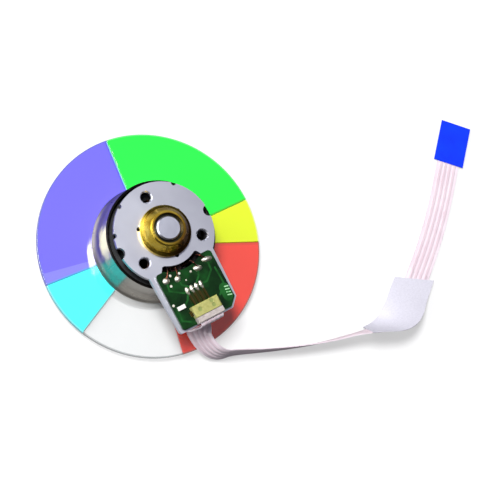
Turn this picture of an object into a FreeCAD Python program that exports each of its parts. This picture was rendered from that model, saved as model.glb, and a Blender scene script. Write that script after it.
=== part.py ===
# Projector color wheel: a ring of six glass filters on a small outer rotor motor,
# with a base plate, a terminal board, a flat cable connector and its flat cable.
# Units are millimetres. +Z is the motor axis, from the filters to the base plate.
# The origin is on the axis, in the front face of the clamp ring that the part rests on.
# The terminal board lies towards -Y.
import FreeCAD, Part
import math
import os

V = FreeCAD.Vector
UP = V(0, 0, 1)
CENTRE = V(0, 0, 0)

# Filter ring
wheel_radius = 22.0
glass_thickness = 1.0
glass_bore_radius = 9.0
seam_gap = 0.06
filter_start_angles = [
    ("glass_green", -1.0),
    ("glass_blue", 84.5),
    ("glass_cyan", 175.5),
    ("glass_clear", 205.0),
    ("glass_red", 258.2),
    ("glass_yellow", 336.0),
]

# Front clamp ring with its balancing groove
clamp_thickness = 1.2
clamp_radius = 12.3
clamp_recess_radius = 8.0
clamp_recess_depth = 0.5
spigot_radius = 3.4
balance_groove_radius = 10.0
balance_groove_width = 1.6
balance_groove_depth = 0.6
putty_angle = 46.0
putty_start_angle = 20.0
putty_depth = 0.45
bond_thickness = 0.1
bead_width = 0.35
bead_height = 0.35
bond_setback = 0.1

# Rotor cup, ring magnet and shaft
cup_radius = 10.6
cup_wall = 0.6
cup_floor = 1.1
cup_height = 8.2
cup_rim_round = 0.2
flange_radius = 10.9
flange_edge = 0.85
hub_radius = 2.3
hub_height = 1.1
pilot_clearance = 0.2
magnet_thickness = 1.2
magnet_height = 6.0
magnet_chamfer = 0.15
shaft_radius = 1.0
shaft_groove_depth = 0.2
washer_thickness = 0.25
washer_radius = 1.75
washer_slit = 1.0
washer_float = 0.3
washer_groove_float = 0.03
shaft_tip = 0.7
shaft_tip_round = 0.45

# Base plate and its tab
plate_gap = 1.45
plate_thickness = 1.0
plate_radius = 9.7
tab_root_half = 6.95
tab_end_half = 6.6
tab_reach = 18.4
tab_corner_radius = 0.6
tab_chamfer = 1.7
mount_circle_radius = 7.3
mount_hole_radius = 1.0
mount_hole_count = 3
mount_hole_chamfer = 0.22
stake_radius = 0.42
stake_depth = 0.6
slot_inner_radius = 6.6
slot_outer_radius = 8.4
slot_half_angle = 33.0
slot_corner_share = 0.3
rim_notch_width = 2.2
rim_notch_depth = 1.0
small_notch_width = 0.9
small_notch_depth = 0.5
small_notch_angles = [50.7, 125.0, 159.6]

# Brass bearing housing, its bearing and its end cap. The boss is turned in steps, each
# given as radius and height above the plate.
boss_radius = 4.95
boss_cylinder = 0.9
boss_top_radius = 3.2
boss_height = 3.2
boss_turning = [(4.35, 1.25), (4.25, 1.6), (3.45, 2.9)]
boss_rim_width = 0.35
housing_flange_radius = 5.7
housing_flange_thickness = 0.6
shoulder_radius = 3.8
tube_radius = 3.0
tube_below_core = 0.7
bearing_radius = 2.0
bearing_wall_clearance = 0.02
bearing_recess = 0.3
cap_flange_thickness = 0.8
cap_groove_depth = 0.9
cap_radius = 2.33
cap_above_boss = 0.1
cap_chamfer = 0.25
thrust_plate_radius = 1.8
thrust_plate_thickness = 0.3

# Stator
pole_count = 9
air_gap = 0.35
core_thickness = 3.2
core_lift = 1.9
core_yoke = 1.3
tooth_width = 1.3
tooth_tip_thickness = 0.7
tooth_tip_angle = 30.0
insulator_thickness = 0.3
insulator_setback = 0.3
coil_build = 0.7
coil_corner = 0.55
coil_start = 4.8
lead_radius = 0.12
lead_setback = 0.4
lead_rise_start = 0.6

# Terminal board
board_thickness = 0.6
tape_thickness = 0.1
tape_margin = 0.3
board_half_width = 6.05
board_reach = 18.1
board_edge_radius = 7.85
board_shoulder_y = -6.7
board_shoulder_radius = 0.7
board_chamfer = 1.5
pad_places = [(-4.56, -8.46), (-2.35, -9.01), (2.14, -8.86), (4.55, -8.12)]
solder_radius = 0.58
solder_height = 0.45
foot_solder_radius = 0.34
foot_solder_height = 0.3
foot_solder_setback = 0.1
lead_start_angles = [-121.0, -98.0, -82.0, -59.0]
lead_slot_angles = [-116.0, -104.0, -77.0, -64.0]
chip_place = (-4.4, -14.1)
chip_size = (1.6, 0.8, 0.45)
chip_edge_radius = 0.08

# Flat cable connector with its sliding lock
pitch = 1.0
way_count = 4
connector_x = -0.3
connector_width = 5.6
connector_back_y = -14.9
connector_front_y = -17.1
connector_height = 1.6
connector_chamfer = 0.2
back_wall = 0.5
mouth_side_gap = 0.12
mouth_below = 0.45
mouth_above = 0.35
slider_depth = 1.2
slider_clearance = 0.08
slider_step = 0.1
slider_cable_gap = 0.05
slider_tongue_length = 1.2
slider_arm_width = 0.4
slider_arm_length = 1.1
slider_arm_above = 0.1
cable_height = 0.85
contact_width = 0.32
contact_thickness = 0.2
contact_foot_y = -11.6
contact_foot_length = 0.9
contact_rise = 0.35
contact_bend = 0.1
contact_tip_setback = 0.5
contact_tip_thickness = 0.12
contact_under_cable = 0.15
contact_side_gap = 0.02
anchor_length = 1.0
anchor_reach = 0.4
anchor_height = 0.6
anchor_thickness = 0.15
mark_radius = 0.42
mark_depth = 0.12
mark_places = [(1.05, -16.35), (1.0, -15.45), (-1.75, -15.95)]

# Flat cable
cable_width = 4.8
cable_thickness = 0.3
label_width = 8.3
label_thickness = 0.15
label_from = 50.4
label_to = 70.9
stiffener_width = 6.5
stiffener_length = 8.8
stiffener_thickness = 0.22
finger_length = 4.0
finger_width = 0.6
finger_thickness = 0.06

# Small fits inside the assembly
press_clearance = 0.01
glue_clearance = 0.05
running_clearance = 0.03
soft_edge = 0.2

# The cable's route: x, y, z, then the way it heads in plan and how far it has rolled,
# both in degrees. It leaves the connector flat, drops, goes over the edge of the filters
# on its way round, stands on edge and ends lying flat.
cable_route = [
    (-0.3, -15.4, 14.45, -90, 0),
    (-0.3, -17.15, 14.5, -90, 0),
    (-0.3, -18.9, 14.5, -90, 0),
    (-0.3, -20.0, 13.3, -90, 0),
    (-0.6, -19.9, 10.6, -90, 0),
    (-0.9, -19.5, 7.2, -90, 2),
    (-1.0, -19.6, 4.9, -88, 6),
    (-0.8, -21.0, 3.7, -80, 16),
    (0.0, -23.0, 3.6, -62, 40),
    (1.6, -24.7, 3.2, -42, 68),
    (4.6, -25.9, 2.8, -24, 86),
    (9.0, -27.7, 2.6, -22, 90),
    (15.0, -30.1, 2.6, -20, 93),
    (22.0, -32.4, 2.7, -16, 97),
    (28.6, -33.9, 3.9, -15, 100),
    (33.2, -35.3, 4.7, -14, 112),
    (37.0, -36.0, 4.3, 0, 132),
    (40.6, -34.9, 2.8, 24, 154),
    (44.2, -32.4, 0.9, 40, 174),
    (48.4, -29.3, 0.3, 44, 180),
    (53.8, -25.0, 0.22, 44, 180),
    (60.2, -19.0, 0.22, 45, 180),
    (66.0, -12.6, 0.22, 48, 180),
    (72.4, -5.7, 0.22, 48, 180),
]

# Heights up the axis
glass_bottom = clamp_thickness + bond_thickness
glass_top = glass_bottom + glass_thickness
floor_top = glass_top + cup_floor
cup_rim = glass_top + cup_height
plate_bottom = cup_rim + plate_gap
plate_top = plate_bottom + plate_thickness
core_bottom = floor_top + core_lift
core_top = core_bottom + core_thickness
coil_top = core_top + insulator_thickness + coil_build
tube_end = core_bottom - tube_below_core
shoulder_bottom = core_top + insulator_thickness
boss_top = plate_top + boss_height
cap_top = boss_top + cap_above_boss
cap_bottom = boss_top - cap_groove_depth - cap_flange_thickness
shaft_end = cap_bottom - thrust_plate_thickness - running_clearance
washer_bottom = shaft_end - shaft_tip - washer_thickness
bearing_top = washer_bottom - washer_float
board_bottom = plate_top + tape_thickness
board_top = board_bottom + board_thickness
cable_z = board_top + cable_height
cable_under = cable_z - cable_thickness / 2
cable_over = cable_z + cable_thickness / 2

# Radii that follow from the fits
cup_inner_radius = cup_radius - cup_wall
magnet_outer_radius = cup_inner_radius - glue_clearance
magnet_inner_radius = magnet_outer_radius - magnet_thickness
stator_radius = magnet_inner_radius - air_gap
core_bore_radius = tube_radius + press_clearance
cap_seat_radius = boss_top_radius - boss_rim_width
insulator_radius = stator_radius - insulator_setback
coil_half_width = tooth_width / 2 + coil_build
coil_end = math.sqrt((insulator_radius - tooth_tip_thickness) ** 2 - coil_half_width ** 2) - press_clearance


def polar(radius, angle, z=0.0):
    turn = math.radians(angle)
    return V(radius * math.cos(turn), radius * math.sin(turn), z)


def revolved(profile):
    """Solid of revolution about Z from (radius, height) points."""
    points = [V(r, 0, z) for r, z in profile]
    face = Part.Face(Part.makePolygon(points + points[:1]))
    return face.revolve(CENTRE, UP, 360)


def ring(inner, outer, low, high):
    return revolved([(inner, low), (outer, low), (outer, high), (inner, high)])


def disc(radius, low, high):
    return Part.makeCylinder(radius, high - low, V(0, 0, low))


def post(radius, x, y, low, high):
    return Part.makeCylinder(radius, high - low, V(x, y, low))


def block(x0, x1, y0, y1, z0, z1):
    return Part.makeBox(x1 - x0, y1 - y0, z1 - z0, V(x0, y0, z0))


def sector(inner, outer, start, end, low, high):
    """Part of a flat ring between two angles."""
    middle = (start + end) / 2
    outside = Part.Arc(polar(outer, start, low), polar(outer, middle, low), polar(outer, end, low))
    inside = Part.Arc(polar(inner, end, low), polar(inner, middle, low), polar(inner, start, low))
    edges = [
        outside.toShape(),
        Part.makeLine(polar(outer, end, low), polar(inner, end, low)),
        inside.toShape(),
        Part.makeLine(polar(inner, start, low), polar(outer, start, low)),
    ]
    return Part.Face(Part.Wire(edges)).extrude(V(0, 0, high - low))


def prism(points, low, high):
    """Upright solid over a plan outline."""
    corners = [V(x, y, low) for x, y in points]
    return Part.Face(Part.makePolygon(corners + corners[:1])).extrude(V(0, 0, high - low))


def turned(shape, angle):
    copy = shape.copy()
    copy.rotate(CENTRE, UP, angle)
    return copy


def upright_edges(shape, places, reach=0.05):
    """The vertical edges that stand at the given plan points."""
    found = []
    for edge in shape.Edges:
        a, b = edge.Vertexes[0].Point, edge.Vertexes[-1].Point
        if math.hypot(a.x - b.x, a.y - b.y) > reach:
            continue
        if any(math.hypot(a.x - x, a.y - y) < reach for x, y in places):
            found.append(edge)
    return found


def circle_edges(shape, radius, z):
    """The circles of that radius at that height."""
    found = []
    for edge in shape.Edges:
        curve = edge.Curve
        if isinstance(curve, Part.Circle) and abs(curve.Radius - radius) < 1e-4:
            if abs(curve.Center.z - z) < 1e-4:
                found.append(edge)
    return found


def save(name, *solids):
    shape = solids[0] if len(solids) == 1 else Part.makeCompound(list(solids))
    shape.exportStep(os.path.join("parts", name + ".step"))
    volume = sum(s.Volume for s in shape.Solids)
    print(name, "solids", len(shape.Solids), "volume", round(volume, 4), "valid", shape.isValid())


def glass_filters():
    """Six dichroic glass segments with a hair of adhesive between their edges."""
    half_seam = math.degrees(seam_gap / 2 / wheel_radius)
    for i, (name, start) in enumerate(filter_start_angles):
        end = filter_start_angles[(i + 1) % len(filter_start_angles)][1]
        while end < start:
            end += 360
        piece = sector(glass_bore_radius, wheel_radius, start + half_seam, end - half_seam,
                       glass_bottom, glass_top)
        save(name, piece)


def clamp_ring():
    """Turned ring that clamps the glass from the front, with a balancing groove."""
    body = disc(clamp_radius, 0, clamp_thickness)
    body = body.makeChamfer(soft_edge, circle_edges(body, clamp_radius, 0))
    half = balance_groove_width / 2
    groove = ring(balance_groove_radius - half, balance_groove_radius + half, 0, balance_groove_depth)
    recess = disc(clamp_recess_radius, 0, clamp_recess_depth)
    bore = disc(spigot_radius + press_clearance, 0, clamp_thickness)
    save("clamp_ring", body.cut(groove).cut(recess).cut(bore))


def balance_putty():
    """A dab of putty in the groove, where the wheel was balanced."""
    half = balance_groove_width / 2
    dab = sector(balance_groove_radius - half, balance_groove_radius + half, putty_start_angle,
                 putty_start_angle + putty_angle, balance_groove_depth - putty_depth, balance_groove_depth)
    save("balance_putty", dab)


def glass_bond():
    """Adhesive film under the glass and the bead that it leaves at the flange."""
    film = ring(glass_bore_radius, clamp_radius - bond_setback, clamp_thickness, glass_bottom)
    bead = revolved([(flange_radius, glass_top), (flange_radius + bead_width, glass_top),
                     (flange_radius, glass_top + bead_height)])
    save("glass_bond", film, bead)


def rotor_cup():
    """Steel cup that carries the magnet, with the glass seat, hub and front spigot."""
    seat = glass_bore_radius - pilot_clearance
    cup = revolved([
        (shaft_radius + press_clearance, clamp_recess_depth),
        (spigot_radius, clamp_recess_depth),
        (spigot_radius, clamp_thickness),
        (seat, clamp_thickness),
        (seat, glass_top),
        (flange_radius, glass_top),
        (flange_radius, glass_top + flange_edge),
        (cup_radius, floor_top),
        (cup_radius, cup_rim),
        (cup_inner_radius, cup_rim),
        (cup_inner_radius, floor_top),
        (hub_radius, floor_top),
        (hub_radius, floor_top + hub_height),
        (shaft_radius + press_clearance, floor_top + hub_height),
    ])
    rims = circle_edges(cup, cup_radius, cup_rim) + circle_edges(cup, cup_inner_radius, cup_rim)
    save("rotor_cup", cup.makeFillet(cup_rim_round, rims))


def ring_magnet():
    body = ring(magnet_inner_radius, magnet_outer_radius, floor_top, floor_top + magnet_height)
    inner = circle_edges(body, magnet_inner_radius, floor_top + magnet_height)
    outer = circle_edges(body, magnet_outer_radius, floor_top + magnet_height)
    save("ring_magnet", body.makeChamfer(magnet_chamfer, inner + outer))


def shaft():
    """Ground steel shaft with a washer groove and a domed end on the thrust plate."""
    low = washer_bottom - washer_groove_float
    high = washer_bottom + washer_thickness + washer_groove_float
    groove_radius = shaft_radius - shaft_groove_depth
    body = revolved([
        (0, clamp_recess_depth),
        (shaft_radius, clamp_recess_depth),
        (shaft_radius, low),
        (groove_radius, low),
        (groove_radius, high),
        (shaft_radius, high),
        (shaft_radius, shaft_end),
        (0, shaft_end),
    ])
    save("shaft", body.makeFillet(shaft_tip_round, circle_edges(body, shaft_radius, shaft_end)))


def retaining_washer():
    """Split washer snapped into the shaft's groove, above the bearing."""
    bottom = washer_bottom
    inner = shaft_radius - shaft_groove_depth + press_clearance
    body = ring(inner, washer_radius, bottom, bottom + washer_thickness)
    slit = block(0, washer_radius, -washer_slit / 2, washer_slit / 2, bottom, bottom + washer_thickness)
    save("retaining_washer", body.cut(slit))


def mount_angles():
    return [90 + 360 / mount_hole_count * i for i in range(mount_hole_count)]


def plate_outline():
    """Round plate with the straight tab that carries the board."""
    tab = prism([
        (-tab_root_half, 0), (-tab_root_half, board_shoulder_y), (-tab_end_half, -tab_reach),
        (tab_end_half - tab_chamfer, -tab_reach), (tab_end_half, -tab_reach + tab_chamfer),
        (tab_root_half, board_shoulder_y), (tab_root_half, 0),
    ], plate_bottom, plate_top)
    corner = upright_edges(tab, [(-tab_end_half, -tab_reach)])
    tab = tab.makeFillet(tab_corner_radius, corner)
    return disc(plate_radius, plate_bottom, plate_top).fuse(tab).removeSplitter()


def rim_notch(width, depth, angle):
    """Round-bottomed notch in the plate's rim."""
    radius = width / 2
    centre = plate_radius - depth + radius
    cut = post(radius, centre, 0, plate_bottom, plate_top)
    cut = cut.fuse(block(centre, plate_radius + 1, -radius, radius, plate_bottom, plate_top))
    return turned(cut, angle)


def lead_slot():
    """Curved slot through which the winding leads reach the board."""
    width = slot_outer_radius - slot_inner_radius
    cut = sector(slot_inner_radius, slot_outer_radius, -90 - slot_half_angle,
                 -90 + slot_half_angle, plate_bottom, plate_top)
    corners = [polar(r, -90 + s * slot_half_angle)
               for r in (slot_inner_radius, slot_outer_radius) for s in (-1, 1)]
    edges = upright_edges(cut, [(p.x, p.y) for p in corners])
    return cut.makeFillet(width * slot_corner_share, edges)


def base_plate():
    plate = plate_outline()
    for angle in (0, 180):
        plate = plate.cut(rim_notch(rim_notch_width, rim_notch_depth, angle))
    for angle in small_notch_angles:
        plate = plate.cut(rim_notch(small_notch_width, small_notch_depth, angle))
    plate = plate.cut(lead_slot())
    plate = plate.cut(disc(boss_radius + press_clearance, plate_bottom, plate_top))
    for angle in mount_angles():
        hole = polar(mount_circle_radius, angle)
        plate = plate.cut(post(mount_hole_radius, hole.x, hole.y, plate_bottom, plate_top))
        mouth = Part.makeCone(mount_hole_radius, mount_hole_radius + mount_hole_chamfer,
                              mount_hole_chamfer, V(hole.x, hole.y, plate_top - mount_hole_chamfer))
        plate = plate.cut(mouth)
        stake = polar(boss_radius, angle + 60)
        plate = plate.cut(post(stake_radius, stake.x, stake.y, plate_top - stake_depth, plate_top))
    save("base_plate", plate)


def bearing_housing():
    """Turned brass housing: boss, flange under the plate, core shoulder and tube."""
    boss = [(radius, plate_top + height) for radius, height in boss_turning]
    housing = revolved([
        (bearing_radius, tube_end),
        (tube_radius, tube_end),
        (tube_radius, shoulder_bottom),
        (shoulder_radius, shoulder_bottom),
        (shoulder_radius, plate_bottom - housing_flange_thickness),
        (housing_flange_radius, plate_bottom - housing_flange_thickness),
        (housing_flange_radius, plate_bottom),
        (boss_radius, plate_bottom),
        (boss_radius, plate_top + boss_cylinder),
    ] + boss + [
        (boss_top_radius, boss_top),
        (cap_seat_radius, boss_top),
        (cap_seat_radius, cap_bottom),
        (bearing_radius, cap_bottom),
    ])
    soft = circle_edges(housing, boss_radius, plate_top + boss_cylinder)
    save("bearing_housing", housing.makeFillet(soft_edge, soft))


def sleeve_bearing():
    bore = shaft_radius + running_clearance
    outer = bearing_radius - bearing_wall_clearance
    bottom = tube_end + bearing_recess
    body = ring(bore, outer, bottom, bearing_top)
    ends = circle_edges(body, bore, bottom) + circle_edges(body, bore, bearing_top)
    save("sleeve_bearing", body.makeChamfer(soft_edge, ends))


def thrust_plate():
    save("thrust_plate", disc(thrust_plate_radius, cap_bottom - thrust_plate_thickness, cap_bottom))


def end_cap():
    """Stepped steel cap pressed into the housing over the thrust plate."""
    body = revolved([
        (0, cap_bottom),
        (cap_seat_radius - press_clearance, cap_bottom),
        (cap_seat_radius - press_clearance, cap_bottom + cap_flange_thickness),
        (cap_radius, cap_bottom + cap_flange_thickness),
        (cap_radius, cap_top),
        (0, cap_top),
    ])
    save("end_cap", body.makeChamfer(cap_chamfer, circle_edges(body, cap_radius, cap_top)))


def pole_shape(tip_radius, low, high):
    """Yoke, teeth and tooth tips of the core, or of the insulators on it."""
    body = ring(core_bore_radius, core_bore_radius + core_yoke, low, high)
    tooth = block(core_bore_radius + core_yoke / 2, tip_radius - tooth_tip_thickness / 2,
                  -tooth_width / 2, tooth_width / 2, low, high)
    tip = sector(tip_radius - tooth_tip_thickness, tip_radius, -tooth_tip_angle / 2,
                 tooth_tip_angle / 2, low, high)
    pole = tooth.fuse(tip)
    poles = [turned(pole, pole_angle(i)) for i in range(pole_count)]
    return body.multiFuse(poles).removeSplitter()


def pole_angle(i):
    return -90 + 360 / pole_count * i


def stator():
    save("stator_core", pole_shape(stator_radius, core_bottom, core_top))
    save("insulator_lower", pole_shape(insulator_radius, core_bottom - insulator_thickness, core_bottom))
    save("insulator_upper", pole_shape(insulator_radius, core_top, core_top + insulator_thickness))


def stator_coils():
    """Nine windings, one round each tooth and its insulators."""
    low = core_bottom - insulator_thickness
    high = core_top + insulator_thickness
    half = tooth_width / 2 + press_clearance
    coil = block(coil_start, coil_end, -coil_half_width, coil_half_width, low - coil_build, high + coil_build)
    long_edges = [e for e in coil.Edges if e.BoundBox.XLength > (coil_end - coil_start) / 2]
    coil = coil.makeFillet(coil_corner, long_edges)
    coil = coil.cut(block(coil_start, coil_end, -half, half, low, high))
    save("stator_coils", *[turned(coil, pole_angle(i)) for i in range(pole_count)])


def rounded_path(points, share=0.45):
    """Straight runs joined by tangent arcs, each as large as its two runs allow."""
    edges = []
    radii = []
    last = points[0]
    for before, corner, after in zip(points, points[1:], points[2:]):
        back = before - corner
        ahead = after - corner
        cut = share * min(back.Length, ahead.Length)
        back.normalize()
        ahead.normalize()
        half_turn = (math.pi - back.getAngle(ahead)) / 2
        radius = cut / math.tan(half_turn)
        radii.append(radius)
        start = corner + back * cut
        end = corner + ahead * cut
        inward = back + ahead
        inward.normalize()
        middle = corner + inward * (radius / math.cos(half_turn) - radius)
        edges.append(Part.LineSegment(last, start).toShape())
        edges.append(Part.Arc(start, middle, end).toShape())
        last = end
    edges.append(Part.LineSegment(last, points[-1]).toShape())
    return edges, radii


def coil_leads():
    """Four enamelled leads from the windings up through the slot to their pads."""
    leads = []
    for start, slot, pad in zip(lead_start_angles, lead_slot_angles, pad_places):
        way = (slot_inner_radius + board_edge_radius) / 2
        over = board_top + solder_height + lead_radius
        points = [
            polar(coil_end - lead_setback, start, coil_top),
            polar(way, slot, plate_bottom - lead_rise_start),
            polar(way, slot, over),
            V(pad[0], pad[1], board_top + lead_radius * 2),
        ]
        path = Part.Wire(rounded_path(points)[0])
        profile = Part.Wire(Part.makeCircle(lead_radius, points[0], points[1] - points[0]))
        leads.append(path.makePipeShell([profile], True, False))
    save("coil_leads", *leads)


def board_tape():
    """Double-sided tape between the board and the tab."""
    half = board_half_width - tape_margin
    near = -slot_outer_radius - tape_margin
    far = -board_reach + tape_margin
    save("board_tape", prism([
        (-half, near), (-half, far), (half - board_chamfer, far), (half, far + board_chamfer), (half, near),
    ], plate_top, board_bottom))


def circuit_board():
    """Terminal board with a hollow edge round the bearing boss."""
    board = prism([
        (-board_half_width, board_shoulder_y), (-board_half_width, -board_reach),
        (board_half_width - board_chamfer, -board_reach),
        (board_half_width, -board_reach + board_chamfer),
        (board_half_width, board_shoulder_y),
    ], board_bottom, board_top)
    board = board.cut(disc(board_edge_radius, board_bottom, board_top))
    corners = [(-board_half_width, board_shoulder_y), (board_half_width, board_shoulder_y),
               (-board_half_width, -board_reach)]
    board = board.makeFillet(board_shoulder_radius, upright_edges(board, corners))
    save("circuit_board", board)


def dome(radius, height, x, y, low):
    """Low spherical cap, as solder sets on a pad."""
    ball = (radius ** 2 + height ** 2) / (2 * height)
    latitude = math.degrees(math.asin((ball - height) / ball))
    return Part.makeSphere(ball, V(x, y, low + height - ball), UP, latitude, 90, 360)


def solder_joints():
    """Solder on the four lead pads and on the four connector feet."""
    blobs = [dome(solder_radius, solder_height, x, y, board_top) for x, y in pad_places]
    for x in contact_places():
        y = contact_foot_y + foot_solder_setback
        blobs.append(dome(foot_solder_radius, foot_solder_height, x, y, board_top))
    save("solder_joints", *blobs)


def chip_resistor():
    """The board's one small chip."""
    x, y = chip_place
    length, width, height = chip_size
    body = block(x - length / 2, x + length / 2, y - width / 2, y + width / 2, board_top, board_top + height)
    long_edges = [e for e in body.Edges if abs(e.Vertexes[0].Point.z - e.Vertexes[-1].Point.z) > height / 2]
    save("chip_resistor", body.makeFillet(chip_edge_radius, long_edges))


def contact_places():
    first = connector_x - pitch * (way_count - 1) / 2
    return [first + pitch * i for i in range(way_count)]


def connector_housing():
    """Moulded housing, open at the front for the cable and the lock."""
    half = connector_width / 2
    low, high = board_top, board_top + connector_height
    body = block(connector_x - half, connector_x + half, connector_front_y, connector_back_y, low, high)
    top = [e for e in body.Edges if abs(e.CenterOfMass.z - high) < 1e-6
           and abs(e.CenterOfMass.y - connector_front_y) > 1e-3]
    body = body.makeChamfer(connector_chamfer, top)
    mouth_half = cable_width / 2 + mouth_side_gap
    mouth = block(connector_x - mouth_half, connector_x + mouth_half, connector_front_y,
                  connector_back_y - back_wall, cable_z - mouth_below, cable_z + mouth_above)
    body = body.cut(mouth)
    for x in contact_places():
        wide = contact_width / 2 + contact_side_gap
        body = body.cut(block(x - wide, x + wide, connector_back_y - back_wall, connector_back_y,
                              low, cable_under))
    for x, y in mark_places:
        body = body.cut(post(mark_radius, x, y, high - mark_depth, high))
    for side in (-1, 1):
        outer = connector_x + side * half
        inner = outer - side * slider_arm_width
        notch = block(min(outer, inner), max(outer, inner), connector_front_y,
                      connector_front_y + slider_arm_length, cable_z - mouth_below,
                      cable_z + slider_arm_above)
        body = body.cut(notch)
    save("connector_housing", body)


def connector_slider():
    """Lock that slides out of the housing to free the cable, open below the cable."""
    half = connector_width / 2
    back = connector_front_y - slider_clearance
    front = connector_front_y - slider_depth
    low, high = board_top + slider_clearance, board_top + connector_height - slider_step
    bar = block(connector_x - half, connector_x + half, front, back, low, high)
    lip = [e for e in bar.Edges if abs(e.CenterOfMass.y - front) < 1e-3
           and abs(e.CenterOfMass.z - high) < 1e-3]
    bar = bar.makeFillet(soft_edge, lip)
    opening = cable_width / 2 + slider_clearance
    ceiling = cable_over + slider_cable_gap
    bar = bar.cut(block(connector_x - opening, connector_x + opening, front, back, low, ceiling))
    bar = bar.fuse(block(connector_x - cable_width / 2, connector_x + cable_width / 2, back,
                         connector_front_y + slider_tongue_length, ceiling,
                         cable_z + mouth_above - slider_cable_gap))
    for side in (-1, 1):
        outer = connector_x + side * (half - slider_clearance)
        inner = connector_x + side * (half - slider_arm_width + slider_clearance)
        arm = block(min(outer, inner), max(outer, inner), back,
                    connector_front_y + slider_arm_length - slider_clearance,
                    cable_z - mouth_below + slider_clearance, cable_z + slider_arm_above - slider_clearance)
        bar = bar.fuse(arm)
    save("connector_slider", bar.removeSplitter())


def connector_contacts():
    """Four stamped contacts whose tails reach the board behind the housing."""
    contacts = []
    top = cable_under - contact_under_cable
    heel = contact_foot_y - contact_foot_length
    tip = connector_front_y + contact_tip_setback
    tip_under = top - contact_tip_thickness
    outline = [
        (contact_foot_y, board_top), (contact_foot_y, board_top + contact_thickness),
        (heel, board_top + contact_thickness),
        (connector_back_y - contact_bend, board_top + contact_rise + contact_thickness),
        (connector_back_y - back_wall, top), (tip, top), (tip, tip_under),
        (connector_back_y - back_wall + contact_bend, tip_under),
        (connector_back_y, board_top + contact_rise), (heel, board_top),
    ]
    for x in contact_places():
        points = [V(x - contact_width / 2, y, z) for y, z in outline]
        face = Part.Face(Part.makePolygon(points + points[:1]))
        contacts.append(face.extrude(V(contact_width, 0, 0)))
    save("connector_contacts", *contacts)


def connector_anchors():
    """Two bent metal tabs that hold the housing down on the board."""
    tabs = []
    for side in (-1, 1):
        wall = connector_x + side * connector_width / 2
        middle = (connector_back_y + connector_front_y) / 2
        outline = [(0, board_top), (anchor_reach, board_top), (anchor_reach, board_top + anchor_thickness),
                   (anchor_thickness, board_top + anchor_thickness),
                   (anchor_thickness, board_top + anchor_height), (0, board_top + anchor_height)]
        points = [V(wall + side * out, middle - anchor_length / 2, z) for out, z in outline]
        face = Part.Face(Part.makePolygon(points + points[:1]))
        tabs.append(face.extrude(V(0, anchor_length, 0)))
    save("connector_anchors", *tabs)


def cable_line():
    """The centre line's edges with where each starts, and how far along each route point is."""
    edges, radii = rounded_path([V(*row[:3]) for row in cable_route])
    print("cable bend radii", [round(r, 1) for r in radii])
    starts = [0.0]
    for edge in edges:
        starts.append(starts[-1] + edge.Length)
    arc_middles = [(a + b) / 2 for a, b in zip(starts[1::2], starts[2::2])]
    return list(zip(starts, edges)), [0.0] + arc_middles + [starts[-1]]


def turn_at(distance, places):
    """Heading and roll, in step between the route's points."""
    for a, b, here, there in zip(places, places[1:], cable_route, cable_route[1:]):
        if distance <= b:
            share = (distance - a) / (b - a)
            return [here[i] + (there[i] - here[i]) * share for i in (3, 4)]
    return cable_route[-1][3:]


def station(line, places, distance):
    """Distance, point, direction and side of the cable at that distance."""
    start, edge = [pair for pair in line if pair[0] <= distance][-1]
    share = (distance - start) / edge.Length
    direction = edge_direction(edge, share)
    return distance, edge_point(edge, share), direction, side_direction(direction, *turn_at(distance, places))


def edge_point(edge, share):
    return edge.valueAt(edge.FirstParameter + (edge.LastParameter - edge.FirstParameter) * share)


def edge_direction(edge, share):
    return edge.tangentAt(edge.FirstParameter + (edge.LastParameter - edge.FirstParameter) * share)


def side_direction(direction, heading, roll):
    """From the cable's middle to its right-hand edge."""
    plan, tilt = math.radians(heading), math.radians(roll)
    side = V(math.cos(tilt) * math.sin(plan), -math.cos(tilt) * math.cos(plan), -math.sin(tilt))
    side = side - direction * side.dot(direction)
    side.normalize()
    return side


def strip(stations, width, low, high):
    """Flat strip along the cable, from low to high across its thickness."""
    sections = []
    for distance, point, direction, side in stations:
        face = direction.cross(side)
        corners = [point + side * (s * width / 2) + face * h
                   for s, h in ((-1, low), (1, low), (1, high), (-1, high))]
        sections.append(Part.makePolygon(corners + corners[:1]))
    return Part.makeLoft(sections, True, True)


def flat_cable():
    """Four-way flat cable with its tag, end stiffener and bare fingers."""
    line, places = cable_line()
    length = places[-1]
    cuts = [label_from, label_to, length - stiffener_length, length - finger_length]
    stops = [start for start, edge in line] + places + cuts
    stations = [station(line, places, stop) for stop in sorted(set(stops))]
    half = cable_thickness / 2
    cable = strip(stations, cable_width, -half, half)
    print("cable length", round(length, 2), "section times length",
          round(cable_width * cable_thickness * length, 3), "volume", round(cable.Volume, 3))
    save("ribbon_cable", cable)
    tagged = [s for s in stations if label_from <= s[0] <= label_to]
    save("ribbon_label", strip(tagged, label_width, half, half + label_thickness))
    stiff = [s for s in stations if s[0] >= length - stiffener_length]
    save("ribbon_stiffener", strip(stiff, stiffener_width, half, half + stiffener_thickness))
    tip = [s for s in stations if s[0] >= length - finger_length]
    fingers = []
    for i in range(way_count):
        shift = (i - (way_count - 1) / 2) * pitch
        beside = [(place, point + side * shift, direction, side) for place, point, direction, side in tip]
        fingers.append(strip(beside, finger_width, -half - finger_thickness, -half))
    save("ribbon_fingers", *fingers)


def main():
    os.makedirs("parts", exist_ok=True)
    glass_filters()
    clamp_ring()
    balance_putty()
    glass_bond()
    rotor_cup()
    ring_magnet()
    shaft()
    retaining_washer()
    base_plate()
    bearing_housing()
    sleeve_bearing()
    thrust_plate()
    end_cap()
    stator()
    stator_coils()
    coil_leads()
    board_tape()
    circuit_board()
    solder_joints()
    chip_resistor()
    connector_housing()
    connector_slider()
    connector_contacts()
    connector_anchors()
    flat_cable()


main()
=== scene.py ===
import math

import bmesh
import bpy
from mathutils import Matrix, Vector


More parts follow.
